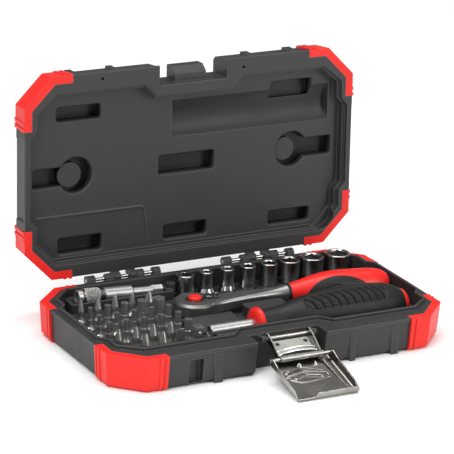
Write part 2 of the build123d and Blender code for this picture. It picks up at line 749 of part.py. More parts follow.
def make_release_button():
    """Push button in the middle of the drive gear, on a thin plunger."""
    high = ratchet_head_high_z
    cap = turned_z([(4.6, high - 2.4), (4.6, high + 1.4), (3.6, high + 2.4)], 0, 0)
    return cap + upright(0, 0, ratchet_head_low_z - 4.0, high - 2.4, 0.9)


def make_button_spring():
    """Coil spring below the button, a wire on a rising helix."""
    low = ratchet_head_high_z - 4.8
    path = Pos(0, 0, low + 0.35) * Helix(pitch=0.8, height=1.7, radius=2.6)
    start = Plane(origin=path @ 0, z_dir=path % 0)
    return sweep(start * Circle(0.25), path=path)


def make_retaining_ring():
    """Ring in the head's underside that keeps the gear in."""
    ring = upright(0, 0, ratchet_head_low_z - 0.6, ratchet_head_low_z, 8.6)
    return ring - upright(0, 0, ratchet_head_low_z - 2, ratchet_head_low_z + 1, 6.6)


def make_lever_and_pawl():
    """Reversing lever on top, joined by a pin to the pawl inside the head."""
    high = ratchet_head_high_z
    lever = turned_z([(3.4, high + 0.15), (3.4, high + 1.6), (2.6, high + 2.2)], pawl_pivot_x, 0)
    thumb = prism([(pawl_pivot_x, -2.2), (pawl_pivot_x + 8.0, -1.3), (pawl_pivot_x + 9.0, 0),
                   (pawl_pivot_x + 8.0, 1.3), (pawl_pivot_x, 2.2)], high + 0.15, high + 1.5)
    ridge = turned_z([(1.9, high + 1.0), (1.9, high + 3.0), (1.4, high + 3.6)], pawl_pivot_x + 5.6, 0)
    pin = upright(pawl_pivot_x, 0, gear_high_z + 0.1, high + 0.5, 1.6)
    pawl = rounded_block(pawl_pivot_x - 3.6, pawl_pivot_x + 2.0, -3.3, 3.3, gear_low_z,
                         gear_high_z, 1.4)
    pawl -= upright(0, 0, gear_low_z - 1, gear_high_z + 1, gear_radius + pawl_gap)
    return lever + thumb + ridge + pin, pawl


ratchet_handle_stations = ((71.1, 6.6), (87.6, 9.9), (113.6, 12.0), (135.6, 10.6), (144.6, 8.0),
                           (147.6, 5.0))


def handle_form(shrink):
    """Smooth round handle along X; shrink moves its skin inwards."""
    sections = [Pos(x, 0, ratchet_axis_z) * Rot(0, 90, 0) * Circle(radius - shrink)
                for x, radius in ratchet_handle_stations]
    return loft(sections)


def make_ratchet_handle():
    """Red core with two arched soft inlays and a black neck ring."""
    full = handle_form(0.0)
    inner = handle_form(1.4)
    arch = Pos(105.6, 0, 18.6) * Rot(90, 0, 0) * extrude(Ellipse(24.0, 12.4), 20, both=True)
    hollow = Pos(102.6, 0, 17.0) * Rot(90, 0, 0) * extrude(Ellipse(13.0, 9.6), 20, both=True)
    upper = block(70, 149, -20, 20, 13.0, 40)
    window = arch & upper
    inlay = (full - inner) & window
    inlay -= hollow - handle_form(0.9)
    core = full - (window - inner)
    core -= along_x(60, 113, 0, ratchet_axis_z, 3.4)
    ring = along_x(ratchet_shank_end, 71.1, 0, ratchet_axis_z, 6.8)
    ring -= along_x(60, 77, 0, ratchet_axis_z, 3.4)
    return core, inlay, ring


# ---------------------------------------------------------------- driver
driver_grip_profile = ((0.0, 9.0), (14.0, 9.9), (32.0, 13.9), (60.0, 17.0), (88.0, 16.4),
                       (104.0, 13.4), (110.0, 10.4))


def make_driver():
    """Shaft with a hexagon bit mouth, red core with collar and end cap, black grip over it."""
    y, z = driver_axis
    tip = driver_tip_x
    shaft = turned_x([(tip, 3.7), (tip + 0.6, 4.2), (driver_collar_x + 40.0, 4.2)], y, z)
    mouth = Rot(0, 90, 0) * extrude(RegularPolygon(hex_shank / 2 + 0.02, 6, major_radius=False), 12)
    shaft -= Pos(tip - 1.0, y, z) * mouth
    magnet = along_x(tip + 11.0, tip + 13.5, y, z, 2.6)
    shaft -= magnet
    core_profile = [(-5.2, 6.6), (-4.6, 9.2), (-3.2, 11.0), (-1.2, 11.7), (0.0, 11.2), (0.0, 6.4),
                    (110.0, 6.4), (110.0, 10.4), (112.6, 9.4), (115.2, 6.0), (115.8, 3.0)]
    core = turned_x([(driver_collar_x + x, radius) for x, radius in core_profile], y, z)
    core -= along_x(driver_collar_x - 10, driver_collar_x + 40, y, z, 4.2)
    path = Spline(*[(x, radius, 0) for x, radius in driver_grip_profile])
    outline = path + Line((110.0, 10.4), (110.0, 6.4)) + Line((110.0, 6.4), (0, 6.4))
    outline += Line((0, 6.4), (0, 9.0))
    grip = Pos(driver_collar_x, y, z) * revolve(make_face(outline), Axis.X)
    return shaft, magnet, core, grip


# ---------------------------------------------------------------- extension
def make_extension():
    """Quick-release bit holder: hexagon stem, stepped body, knurled sleeve, spring and ball."""
    y, z = extension_axis
    body = turned_x([(-99.5, 4.4), (-99.0, 4.9), (-96.0, 4.9), (-96.0, 4.0), (-79.0, 4.0),
                     (-79.0, 4.9), (-58.5, 4.9), (-57.0, 3.0), (-44.0, 3.0), (-44.0, 3.4),
                     (-42.5, 3.4)], y, z)
    stem = Pos(-43.0, y, z) * Rot(0, 90, 0)
    stem *= extrude(RegularPolygon(hex_shank / 2, 6, major_radius=False), 8.5)
    mouth = Pos(-100.5, y, z) * Rot(0, 90, 0)
    mouth *= extrude(RegularPolygon(hex_shank / 2 + 0.05, 6, major_radius=False), 14)
    body += stem
    body -= mouth
    sleeve = along_x(-95.0, -83.0, y, z, 5.7) - along_x(-96, -82, y, z, 4.05)
    sleeve -= along_x(-90.0, -82, y, z, 4.9)
    path = Pos(-86.1, y, z) * Rot(0, 90, 0) * Helix(pitch=1.1, height=6.8, radius=4.45)
    start = Plane(origin=path @ 0, z_dir=path % 0)
    spring = sweep(start * Circle(0.25), path=path)
    return body, sleeve, spring


# ---------------------------------------------------------------- writing out
def write(name, shapes):
    """Export one node; a list of separate solids becomes one compound."""
    group = shapes if isinstance(shapes, (list, tuple)) else [shapes]
    solids = [solid for shape in group for solid in shape.solids()]
    export_step(Compound(children=solids) if len(solids) > 1 else solids[0], f"parts/{name}.step")


corners = {"front_left": (-1, -1), "front_right": (1, -1), "back_left": (-1, 1),
           "back_right": (1, 1)}


def write_case():
    base_ring = guard_ring(base_form, -1, base_height + 1, base_height - guard_flange_thickness,
                           base_height)
    base_ribs = base_form(-guard_rib_height) - base_form(0.0)
    base_guards = []
    for corner, (sign_x, sign_y) in corners.items():
        guard = make_guard(base_ring, base_ribs, sign_x, sign_y, -1, base_height + 1)
        base_guards.append(guard)
        write(f"base_guard_{corner}", guard)
    write("base_shell", make_base(base_guards))
    lid_ring = guard_ring(lid_form, base_height - 1, closed_height + 1, base_height,
                          base_height + guard_flange_thickness)
    lid_ribs = lid_form(-guard_rib_height) - lid_form(0.0)
    lid_guards = []
    for corner, (sign_x, sign_y) in corners.items():
        guard = make_guard(lid_ring, lid_ribs, sign_x, sign_y, base_height - 1, closed_height + 1)
        lid_guards.append(guard)
        write(f"lid_guard_{corner}", open_lid(guard))
    write("lid_shell", open_lid(make_lid(lid_guards)))
    write("hinge_pins", make_hinge_pins())


def write_latch():
    base_pin, joint_pin = make_latch_pins()
    write("latch_base_pin", base_pin)
    write("latch_joint_pin", joint_pin)
    write("latch_plate", make_latch_plate())
    write("latch_hasp", make_hasp())


def write_ratchet():
    lever, pawl = make_lever_and_pawl()
    core, inlay, ring = make_ratchet_handle()
    pieces = {"ratchet_body": make_ratchet_body(), "ratchet_drive_gear": make_drive_gear(),
              "ratchet_drive_ball": drive_ball(), "ratchet_release_button": make_release_button(),
              "ratchet_button_spring": make_button_spring(),
              "ratchet_retaining_ring": make_retaining_ring(), "ratchet_reversing_lever": lever,
              "ratchet_pawl": pawl, "ratchet_handle_core": core, "ratchet_handle_inlay": inlay,
              "ratchet_neck_ring": ring}
    for name, piece in pieces.items():
        write(name, ratchet_place(piece))


def write_tools():
    for name, x, radius, flats, drive_radius in sockets:
        write(name, make_socket(x, radius, flats, drive_radius))
    holder, holder_magnet = make_bit_holder()
    write("bit_holder", holder)
    write("bit_holder_magnet", holder_magnet)
    for name, bits in make_bit_rows().items():
        write(name, bits)
    adapter, ball = make_adapter()
    write("square_adapter", adapter)
    write("square_adapter_ball", ball)
    for name, piece in zip(("driver_shaft", "driver_magnet", "driver_core", "driver_grip"),
                           make_driver()):
        write(name, piece)
    for name, piece in zip(("extension_body", "extension_sleeve", "extension_spring"),
                           make_extension()):
        write(name, extension_place(piece))


write_case()
write_latch()
write_ratchet()
write_tools()
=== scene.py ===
import json
from math import cos, pi, radians, sin

import bmesh
import bpy
import numpy as np
from mathutils import Matrix, Vector


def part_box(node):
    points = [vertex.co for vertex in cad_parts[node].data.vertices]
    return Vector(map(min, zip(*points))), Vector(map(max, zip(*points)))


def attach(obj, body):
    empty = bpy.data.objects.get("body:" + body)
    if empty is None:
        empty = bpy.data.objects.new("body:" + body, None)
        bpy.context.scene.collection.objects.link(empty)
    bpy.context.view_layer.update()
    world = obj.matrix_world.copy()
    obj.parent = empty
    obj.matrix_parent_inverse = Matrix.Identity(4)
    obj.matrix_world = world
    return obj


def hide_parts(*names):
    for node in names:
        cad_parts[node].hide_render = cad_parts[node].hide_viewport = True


# Looks of an open socket wrench set in its hinged case.
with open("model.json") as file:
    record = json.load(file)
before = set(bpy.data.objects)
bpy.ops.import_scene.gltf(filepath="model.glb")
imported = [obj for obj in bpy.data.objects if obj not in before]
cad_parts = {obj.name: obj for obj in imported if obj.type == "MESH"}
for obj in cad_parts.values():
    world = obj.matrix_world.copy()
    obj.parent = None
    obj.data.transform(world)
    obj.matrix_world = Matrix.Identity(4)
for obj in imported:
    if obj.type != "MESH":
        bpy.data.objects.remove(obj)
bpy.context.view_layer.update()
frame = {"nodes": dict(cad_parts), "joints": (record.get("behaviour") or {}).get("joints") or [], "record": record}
nodes = frame["nodes"]
joints = {joint["name"]: joint for joint in frame["joints"]}
mm = 0.001
print("frame loaded:", len(nodes), "nodes")


# Small helpers for meshes.

def quadFaces(rows, cols, closedRows, closedCols):
    # Corner numbers of every quad in a grid, with wrap-around where a direction is closed.
    a = np.arange(rows if closedRows else rows - 1)
    b = np.arange(cols if closedCols else cols - 1)
    i, j = np.meshgrid(a, b, indexing="ij")
    nextI = (i + 1) % rows
    nextJ = (j + 1) % cols
    return np.stack([i * cols + j, nextI * cols + j, nextI * cols + nextJ, i * cols + nextJ],
                    axis=-1).reshape(-1, 4)


def gridPiece(name, grids):
    # One mesh from grids of points in millimetres; each entry is (points, closedRows, closedCols).
    points = []
    faces = []
    start = 0
    for grid, closedRows, closedCols in grids:
        rows, cols = grid.shape[:2]
        points.append(grid.reshape(-1, 3))
        faces.append(quadFaces(rows, cols, closedRows, closedCols) + start)
        start += rows * cols
    mesh = bpy.data.meshes.new(name)
    mesh.from_pydata(np.concatenate(points) * mm, [], np.concatenate(faces).tolist())
    mesh.update()
    shell = bmesh.new()
    shell.from_mesh(mesh)
    bmesh.ops.remove_doubles(shell, verts=shell.verts, dist=0.002 * mm)
    bmesh.ops.recalc_face_normals(shell, faces=shell.faces)
    shell.to_mesh(mesh)
    shell.free()
    mesh.polygons.foreach_set("use_smooth", np.ones(len(mesh.polygons), bool))
    piece = bpy.data.objects.new(name, mesh)
    bpy.context.collection.objects.link(piece)
    return piece


def smoothStep(value, low, high):
    t = np.clip((value - low) / (high - low), 0, 1)
    return t * t * (3 - 2 * t)


def thicken(piece, thickness, offset):
    solid = piece.modifiers.new("sheet", "SOLIDIFY")
    solid.thickness = thickness * mm
    solid.offset = offset


def roundEdges(piece, width, segments=2, angle=35):
    bevel = piece.modifiers.new("rounded", "BEVEL")
    bevel.width = width * mm
    bevel.segments = segments
    bevel.limit_method = "ANGLE"
    bevel.angle_limit = radians(angle)


# Shader groups.

def shaderGroup(name, inputs, outputs):
    group = bpy.data.node_groups.new(name, "ShaderNodeTree")
    for label, kind, value in inputs:
        socket = group.interface.new_socket(name=label, in_out="INPUT", socket_type=kind)
        socket.default_value = value
    for label, kind in outputs:
        group.interface.new_socket(name=label, in_out="OUTPUT", socket_type=kind)
    return group, group.nodes.new("NodeGroupInput"), group.nodes.new("NodeGroupOutput")


def link(tree, source, target):
    tree.links.new(source, target)


def mathNode(tree, operation, first, second):
    node = tree.nodes.new("ShaderNodeMath")
    node.operation = operation
    for place, value in enumerate((first, second)):
        if isinstance(value, (int, float)):
            node.inputs[place].default_value = value
        elif value is not None:
            tree.links.new(value, node.inputs[place])
    return node.outputs[0]


def noiseNode(tree, vector, scale, detail, roughness=0.5):
    node = tree.nodes.new("ShaderNodeTexNoise")
    node.inputs["Scale"].default_value = scale
    node.inputs["Detail"].default_value = detail
    node.inputs["Roughness"].default_value = roughness
    tree.links.new(vector, node.inputs["Vector"])
    return node


def mapRange(tree, value, fromLow, fromHigh, toLow, toHigh):
    node = tree.nodes.new("ShaderNodeMapRange")
    for label, number in (("From Min", fromLow), ("From Max", fromHigh), ("To Min", toLow),
                          ("To Max", toHigh)):
        node.inputs[label].default_value = number
    tree.links.new(value, node.inputs["Value"])
    return node.outputs[0]


def makeRoundedEdges():
    # Normal = surface normal blended across edges within the radius; edge = one minus its dot
    # product with the flat normal, so it is bright only where an edge is.
    group, given, out = shaderGroup("roundedEdges", [("Radius", "NodeSocketFloat", 0.5 * mm)],
                                    [("Normal", "NodeSocketVector"), ("Edge", "NodeSocketFloat")])
    bevel = group.nodes.new("ShaderNodeBevel")
    bevel.samples = 6
    link(group, given.outputs["Radius"], bevel.inputs["Radius"])
    flat = group.nodes.new("ShaderNodeNewGeometry")
    dot = group.nodes.new("ShaderNodeVectorMath")
    dot.operation = "DOT_PRODUCT"
    link(group, bevel.outputs["Normal"], dot.inputs[0])
    link(group, flat.outputs["Normal"], dot.inputs[1])
    turned = mathNode(group, "SUBTRACT", 1.0, dot.outputs["Value"])
    link(group, bevel.outputs["Normal"], out.inputs["Normal"])
    link(group, mapRange(group, turned, 0.01, 0.22, 0.0, 1.0), out.inputs["Edge"])
    return group


def makeMouldedGrain():
    # Height = fine noise plus small round pits; mottle = broad soft noise over the surface.
    group, given, out = shaderGroup("mouldedGrain", [("Grain Scale", "NodeSocketFloat", 1800.0),
                                                     ("Mottle Scale", "NodeSocketFloat", 60.0)],
                                    [("Height", "NodeSocketFloat"), ("Mottle", "NodeSocketFloat")])
    place = group.nodes.new("ShaderNodeTexCoord")
    fine = noiseNode(group, place.outputs["Object"], 1800, 3, 0.6)
    link(group, given.outputs["Grain Scale"], fine.inputs["Scale"])
    pits = group.nodes.new("ShaderNodeTexVoronoi")
    link(group, place.outputs["Object"], pits.inputs["Vector"])
    link(group, given.outputs["Grain Scale"], pits.inputs["Scale"])
    broad = noiseNode(group, place.outputs["Object"], 60, 4, 0.55)
    link(group, given.outputs["Mottle Scale"], broad.inputs["Scale"])
    height = mathNode(group, "ADD", fine.outputs["Fac"],
                      mathNode(group, "MULTIPLY", pits.outputs["Distance"], 0.5))
    link(group, height, out.inputs["Height"])
    link(group, mapRange(group, broad.outputs["Fac"], 0.3, 0.7, 0.0, 1.0), out.inputs["Mottle"])
    return group


def makeMachining():
    # Streaks = noise squeezed along one direction; smudge = broad noise for finger marks.
    group, given, out = shaderGroup("machining", [("Stretch", "NodeSocketVector", (1, 1, 1)),
                                                  ("Smudge Scale", "NodeSocketFloat", 90.0)],
                                    [("Streaks", "NodeSocketFloat"), ("Smudge", "NodeSocketFloat")])
    place = group.nodes.new("ShaderNodeTexCoord")
    squeeze = group.nodes.new("ShaderNodeVectorMath")
    squeeze.operation = "MULTIPLY"
    link(group, place.outputs["Object"], squeeze.inputs[0])
    link(group, given.outputs["Stretch"], squeeze.inputs[1])
    streaks = noiseNode(group, squeeze.outputs["Vector"], 1.0, 4, 0.65)
    smudge = noiseNode(group, place.outputs["Object"], 90, 3, 0.5)
    link(group, given.outputs["Smudge Scale"], smudge.inputs["Scale"])
    link(group, streaks.outputs["Fac"], out.inputs["Streaks"])
    link(group, mapRange(group, smudge.outputs["Fac"], 0.35, 0.65, 0.0, 1.0), out.inputs["Smudge"])
    return group


def makeScuffsAndHighlights():
    # Scuff = edge mask broken up by noise, so wear and painted highlight come and go along an edge.
    group, given, out = shaderGroup("scuffsAndHighlights", [("Edge", "NodeSocketFloat", 0.0),
                                               ("Amount", "NodeSocketFloat", 0.5)],
                                    [("ScuffAndHighlight", "NodeSocketFloat")])
    place = group.nodes.new("ShaderNodeTexCoord")
    broken = noiseNode(group, place.outputs["Object"], 220, 5, 0.7)
    patches = mapRange(group, broken.outputs["Fac"], 0.42, 0.62, 0.0, 1.0)
    wearAndHighlightMask = mathNode(group, "MULTIPLY", given.outputs["Edge"], patches)
    link(group, mathNode(group, "MULTIPLY", wearAndHighlightMask, given.outputs["Amount"]), out.inputs["ScuffAndHighlight"])
    return group


def planeDistance(tree, place, origin, direction):
    # Distance from a plane: the dot product of (point - origin) with the plane's direction.
    away = tree.nodes.new("ShaderNodeVectorMath")
    away.operation = "SUBTRACT"
    link(tree, place, away.inputs[0])
    away.inputs[1].default_value = origin
    dot = tree.nodes.new("ShaderNodeVectorMath")
    dot.operation = "DOT_PRODUCT"
    link(tree, away.outputs["Vector"], dot.inputs[0])
    dot.inputs[1].default_value = direction
    return dot.outputs["Value"]


# The field of slots in the lid that gets painted shade, in degrees and millimetres from the rim plane or the hinge
# line.
# Each pair is where the painted shade has faded out and where it is whole.
slotField = {"openAngle": 92.7, "depthIn": (12.0, 15.5), "depthOut": (20.0, 19.4),
             "bottom": (9.0, 10.0), "top": (129.0, 127.5), "sides": (121.0, 120.0)}


def makePaintedRecessShade(s):
    # Painted shade: Shade = 1 deep in the slots of the lid's inner face, darkening the colour there. Depth is
    # measured from the rim plane through the hinge line, and the shade is kept to the field that holds the slots.
    group, given, out = shaderGroup("recessShade", [("Strength", "NodeSocketFloat", 1.0)],
                                    [("Shade", "NodeSocketFloat")])
    place = group.nodes.new("ShaderNodeTexCoord").outputs["Object"]
    hinge = joints["lid_hinge"]["pos_m"]
    turn = radians(s["openAngle"])
    depth = planeDistance(group, place, hinge, (0, sin(turn), cos(turn)))
    upward = planeDistance(group, place, hinge, (0, -cos(turn), sin(turn)))
    sideways = mathNode(group, "ABSOLUTE", planeDistance(group, place, hinge, (1, 0, 0)), None)
    shade = mapRange(group, depth, s["depthIn"][0] * mm, s["depthIn"][1] * mm, 0.0, 1.0)
    for value, (faded, whole) in ((depth, s["depthOut"]), (upward, s["bottom"]),
                                  (upward, s["top"]), (sideways, s["sides"])):
        limit = mapRange(group, value, faded * mm, whole * mm, 0.0, 1.0)
        shade = mathNode(group, "MULTIPLY", shade, limit)
    link(group, mathNode(group, "MULTIPLY", shade, given.outputs["Strength"]), out.inputs["Shade"])
    return group


roundedEdges = makeRoundedEdges()
mouldedGrain = makeMouldedGrain()
machining = makeMachining()
scuffsAndHighlights = makeScuffsAndHighlights()
recessShade = makePaintedRecessShade(slotField)


def useGroup(tree, group, **values):
    node = tree.nodes.new("ShaderNodeGroup")
    node.node_tree = group
    for label, value in values.items():
        node.inputs[label.replace("_", " ")].default_value = value
    return node


def colourMix(tree, factor, first, second):
    mix = tree.nodes.new("ShaderNodeMix")
    mix.data_type = "RGBA"
    for place, value in ((0, factor), (6, first), (7, second)):
        if isinstance(value, (int, float)):
            mix.inputs[place].default_value = value
        elif isinstance(value, tuple):
            mix.inputs[place].default_value = (*value, 1.0)
        else:
            tree.links.new(value, mix.inputs[place])
    return mix.outputs[2]


def startMaterial(name):
    material = bpy.data.materials.new(name)
    material.use_nodes = True
    tree = material.node_tree
    shader = next(n for n in tree.nodes if n.type == "BSDF_PRINCIPLED")
    return material, tree, shader


def bumpInto(tree, shader, height, depth, normal):
    bump = tree.nodes.new("ShaderNodeBump")
    bump.inputs["Strength"].default_value = 1.0
    bump.inputs["Distance"].default_value = depth * mm
    link(tree, height, bump.inputs["Height"])
    link(tree, normal, bump.inputs["Normal"])
    link(tree, bump.outputs["Normal"], shader.inputs["Normal"])


def plasticMaterial(name, look):
    # Moulded plastic: mottled colour, edge wear and painted edge highlights, fine grain.
    material, tree, shader = startMaterial(name)
    edges = useGroup(tree, roundedEdges, Radius=look["edgeRadius"] * mm)
    grain = useGroup(tree, mouldedGrain, Grain_Scale=look["grainScale"],
                     Mottle_Scale=look["mottleScale"])
    wearAndHighlightMask = useGroup(tree, scuffsAndHighlights, Amount=look["wearAndHighlight"])
    link(tree, edges.outputs["Edge"], wearAndHighlightMask.inputs["Edge"])
    plain = colourMix(tree, grain.outputs["Mottle"], look["colour"], look["colourOther"])
    # Painted highlight: a lighter colour along every rounded edge, mixed with the scuffs.
    paintedEdgeHighlightMask = mathNode(tree, "MULTIPLY", edges.outputs["Edge"], look["paintedEdgeHighlight"])
    marked = mathNode(tree, "MAXIMUM", paintedEdgeHighlightMask, wearAndHighlightMask.outputs["ScuffAndHighlight"])
    colour = colourMix(tree, marked, plain, look["wornAndHighlightColour"])
    # Painted shade: the colour is darkened deep in the lid's slots.
    if "recess" in look:
        deep = useGroup(tree, recessShade, Strength=look["recess"])
        colour = colourMix(tree, deep.outputs["Shade"], colour, look["recessColour"])
    link(tree, colour, shader.inputs["Base Color"])
    link(tree, mapRange(tree, grain.outputs["Mottle"], 0, 1, *look["roughness"]),
         shader.inputs["Roughness"])
    shader.inputs["Specular IOR Level"].default_value = look.get("specular", 0.5)
    bumpInto(tree, shader, grain.outputs["Height"], look["grainDepth"], edges.outputs["Normal"])
    return material


def metalMaterial(name, look):
    # Plated or hardened steel: streaks in the direction of machining, smudges in the gloss, edge wear mixed with
    # painted edge highlights.
    material, tree, shader = startMaterial(name)
    edges = useGroup(tree, roundedEdges, Radius=look["edgeRadius"] * mm)
    marks = useGroup(tree, machining, Stretch=look["stretch"], Smudge_Scale=look["smudgeScale"])
    wearAndHighlightMask = useGroup(tree, scuffsAndHighlights, Amount=look["wearAndHighlight"])
    link(tree, edges.outputs["Edge"], wearAndHighlightMask.inputs["Edge"])
    plain = colourMix(tree, marks.outputs["Smudge"], look["colour"], look["colourOther"])
    # Edge wear and painted highlight: the broken-up edge mask lightens the colour.
    link(tree, colourMix(tree, wearAndHighlightMask.outputs["ScuffAndHighlight"], plain, look["wornAndHighlightColour"]),
         shader.inputs["Base Color"])
    shader.inputs["Metallic"].default_value = look["metallic"]
    rough = mathNode(tree, "ADD", mapRange(tree, marks.outputs["Smudge"], 0, 1, *look["roughness"]),
                     mapRange(tree, marks.outputs["Streaks"], 0.3, 0.7, -0.03, 0.05))
    link(tree, rough, shader.inputs["Roughness"])
    bumpInto(tree, shader, marks.outputs["Streaks"], look["depth"], edges.outputs["Normal"])
    return material


# The case look ends with painted shade: its strength and the near-black colour it gives deep in the lid's slots.
caseLook = {"colour": (0.027, 0.0272, 0.028), "colourOther": (0.033, 0.0332, 0.034),
            "wornAndHighlightColour": (0.20, 0.20, 0.20), "wearAndHighlight": 0.35, "roughness": (0.42, 0.54),
            "edgeRadius": 1.1, "paintedEdgeHighlight": 0.45, "grainScale": 1500.0, "mottleScale": 45.0,
            "grainDepth": 0.03, "specular": 0.4, "recess": 1.0,
            "recessColour": (0.003, 0.003, 0.003)}
guardLook = {"colour": (0.80, 0.022, 0.016), "colourOther": (0.75, 0.018, 0.013),
             "wornAndHighlightColour": (0.95, 0.12, 0.09), "wearAndHighlight": 0.3, "roughness": (0.38, 0.48),
             "edgeRadius": 0.5, "paintedEdgeHighlight": 0.5, "grainScale": 1700.0, "mottleScale": 40.0,
             "grainDepth": 0.02, "specular": 0.3}
gripRedLook = {"colour": (0.80, 0.020, 0.015), "colourOther": (0.74, 0.016, 0.012),
               "wornAndHighlightColour": (0.95, 0.12, 0.09), "wearAndHighlight": 0.2, "roughness": (0.30, 0.40),
               "edgeRadius": 0.4, "paintedEdgeHighlight": 0.4, "grainScale": 2400.0, "mottleScale": 60.0,
               "grainDepth": 0.006, "specular": 0.35}
gripBlackLook = {"colour": (0.008, 0.008, 0.0085), "colourOther": (0.011, 0.011, 0.0115),
                 "wornAndHighlightColour": (0.07, 0.07, 0.07), "wearAndHighlight": 0.3, "roughness": (0.44, 0.56),
                 "edgeRadius": 0.4, "paintedEdgeHighlight": 0.3, "grainScale": 2100.0, "mottleScale": 80.0,
                 "grainDepth": 0.02, "specular": 0.33}
chromeLook = {"colour": (0.58, 0.58, 0.57), "colourOther": (0.50, 0.50, 0.49),
              "wornAndHighlightColour": (0.75, 0.75, 0.74), "wearAndHighlight": 0.4, "roughness": (0.16, 0.24),
              "metallic": 1.0, "edgeRadius": 0.35, "stretch": (700.0, 700.0, 9000.0),
              "smudgeScale": 90.0, "depth": 0.002}
toolLook = {"colour": (0.47, 0.465, 0.455), "colourOther": (0.40, 0.395, 0.39),
            "wornAndHighlightColour": (0.70, 0.69, 0.68), "wearAndHighlight": 0.4, "roughness": (0.32, 0.40),
            "metallic": 0.85, "edgeRadius": 0.6, "stretch": (900.0, 2600.0, 2600.0),
            "smudgeScale": 70.0, "depth": 0.004}
ratchetLook = {"colour": (0.27, 0.267, 0.262), "colourOther": (0.21, 0.208, 0.204),
               "wornAndHighlightColour": (0.60, 0.59, 0.58), "wearAndHighlight": 0.5, "roughness": (0.32, 0.40),
               "metallic": 0.9, "edgeRadius": 0.7, "stretch": (900.0, 2600.0, 2600.0),
               "smudgeScale": 60.0, "depth": 0.004}
knurlLook = {"colour": (0.42, 0.415, 0.41), "colourOther": (0.34, 0.336, 0.33),
             "wornAndHighlightColour": (0.70, 0.69, 0.68), "wearAndHighlight": 0.3, "roughness": (0.22, 0.30),
             "metallic": 1.0, "edgeRadius": 0.1, "stretch": (900.0, 900.0, 900.0),
             "smudgeScale": 90.0, "depth": 0.002}
bitLook = {"colour": (0.46, 0.455, 0.44), "colourOther": (0.36, 0.356, 0.345),
           "wornAndHighlightColour": (0.70, 0.70, 0.68), "wearAndHighlight": 0.8, "roughness": (0.27, 0.36),
           "metallic": 0.9, "edgeRadius": 0.15, "stretch": (2200.0, 2200.0, 600.0),
           "smudgeScale": 160.0, "depth": 0.006}
latchLook = {"colour": (0.36, 0.343, 0.322), "colourOther": (0.30, 0.286, 0.268),
             "wornAndHighlightColour": (0.88, 0.87, 0.85), "wearAndHighlight": 0.9, "roughness": (0.16, 0.26),
             "metallic": 1.0, "edgeRadius": 0.35, "stretch": (2400.0, 260.0, 260.0),
             "smudgeScale": 60.0, "depth": 0.003}
plateLook = {"colour": (0.30, 0.288, 0.27), "colourOther": (0.24, 0.23, 0.216),
             "wornAndHighlightColour": (0.80, 0.79, 0.77), "wearAndHighlight": 0.9, "roughness": (0.22, 0.32),
             "metallic": 1.0, "edgeRadius": 0.3, "stretch": (2400.0, 260.0, 260.0),
             "smudgeScale": 60.0, "depth": 0.003}
# Much brighter copy of the plate's steel: painted highlight on the rolled beads.
paintedHighlightSteelLook = {"colour": (0.86, 0.85, 0.83), "colourOther": (0.80, 0.79, 0.77),
                   "wornAndHighlightColour": (0.92, 0.92, 0.90), "wearAndHighlight": 0.3, "roughness": (0.14, 0.22),
                   "metallic": 1.0, "edgeRadius": 0.3, "stretch": (900.0, 900.0, 900.0),
                   "smudgeScale": 60.0, "depth": 0.002}
darkSteelLook = {"colour": (0.16, 0.16, 0.156), "colourOther": (0.11, 0.11, 0.108),
                 "wornAndHighlightColour": (0.45, 0.45, 0.44), "wearAndHighlight": 0.5, "roughness": (0.28, 0.38),
                 "metallic": 1.0, "edgeRadius": 0.25, "stretch": (1500.0, 1500.0, 1500.0),
                 "smudgeScale": 120.0, "depth": 0.005}
# Near-black look for the painted shade sheet on the latch plate.
paintedGapShadeLook = {"colour": (0.006, 0.006, 0.006), "colourOther": (0.010, 0.010, 0.010),
           "wornAndHighlightColour": (0.02, 0.02, 0.02), "wearAndHighlight": 0.1, "roughness": (0.6, 0.7),
           "edgeRadius": 0.2, "paintedEdgeHighlight": 0.0, "grainScale": 1500.0, "mottleScale": 60.0,
           "grainDepth": 0.01, "specular": 0.2}

casePlastic = plasticMaterial("casePlastic", caseLook)
guardPlastic = plasticMaterial("guardPlastic", guardLook)
redGrip = plasticMaterial("redGrip", gripRedLook)
blackGrip = plasticMaterial("blackGrip", gripBlackLook)
socketChrome = metalMaterial("socketChrome", chromeLook)
toolChrome = metalMaterial("toolChrome", toolLook)
ratchetSteel = metalMaterial("ratchetSteel", ratchetLook)
knurledSteel = metalMaterial("knurledSteel", knurlLook)
bitSteel = metalMaterial("bitSteel", bitLook)
latchSteel = metalMaterial("latchSteel", latchLook)
darkSteel = metalMaterial("darkSteel", darkSteelLook)
plateSteel = metalMaterial("plateSteel", plateLook)
paintedHighlightSteel = metalMaterial("paintedHighlightSteel", paintedHighlightSteelLook)
paintedGapShade = plasticMaterial("paintedGapShade", paintedGapShadeLook)
print("materials made")

slotMaterials = {"case_plastic": casePlastic, "guard_plastic": guardPlastic,
                 "red_grip": redGrip, "red_button": redGrip, "black_grip": blackGrip,
                 "socket_chrome": socketChrome, "tool_chrome": toolChrome, "bit_steel": bitSteel,
                 "latch_steel": latchSteel, "magnet": darkSteel, "mechanism_steel": darkSteel}
ownMaterials = {"ratchet_body": ratchetSteel, "bit_holder": socketChrome,
                "latch_plate": plateSteel}
for subpart in frame["record"]["subparts"]:
    piece = nodes[subpart["node"]]
    material = ownMaterials.get(subpart["node"], slotMaterials[subpart["material_slot"]])
    piece.data.materials.clear()
    piece.data.materials.append(material)


def addPiece(piece, body, material, replaced=()):
    piece.data.materials.append(material)
    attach(piece, body)
    if replaced:
        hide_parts(*replaced)


def boxMm(node):
    low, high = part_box(node)
    return np.array(low) / mm, np.array(high) / mm


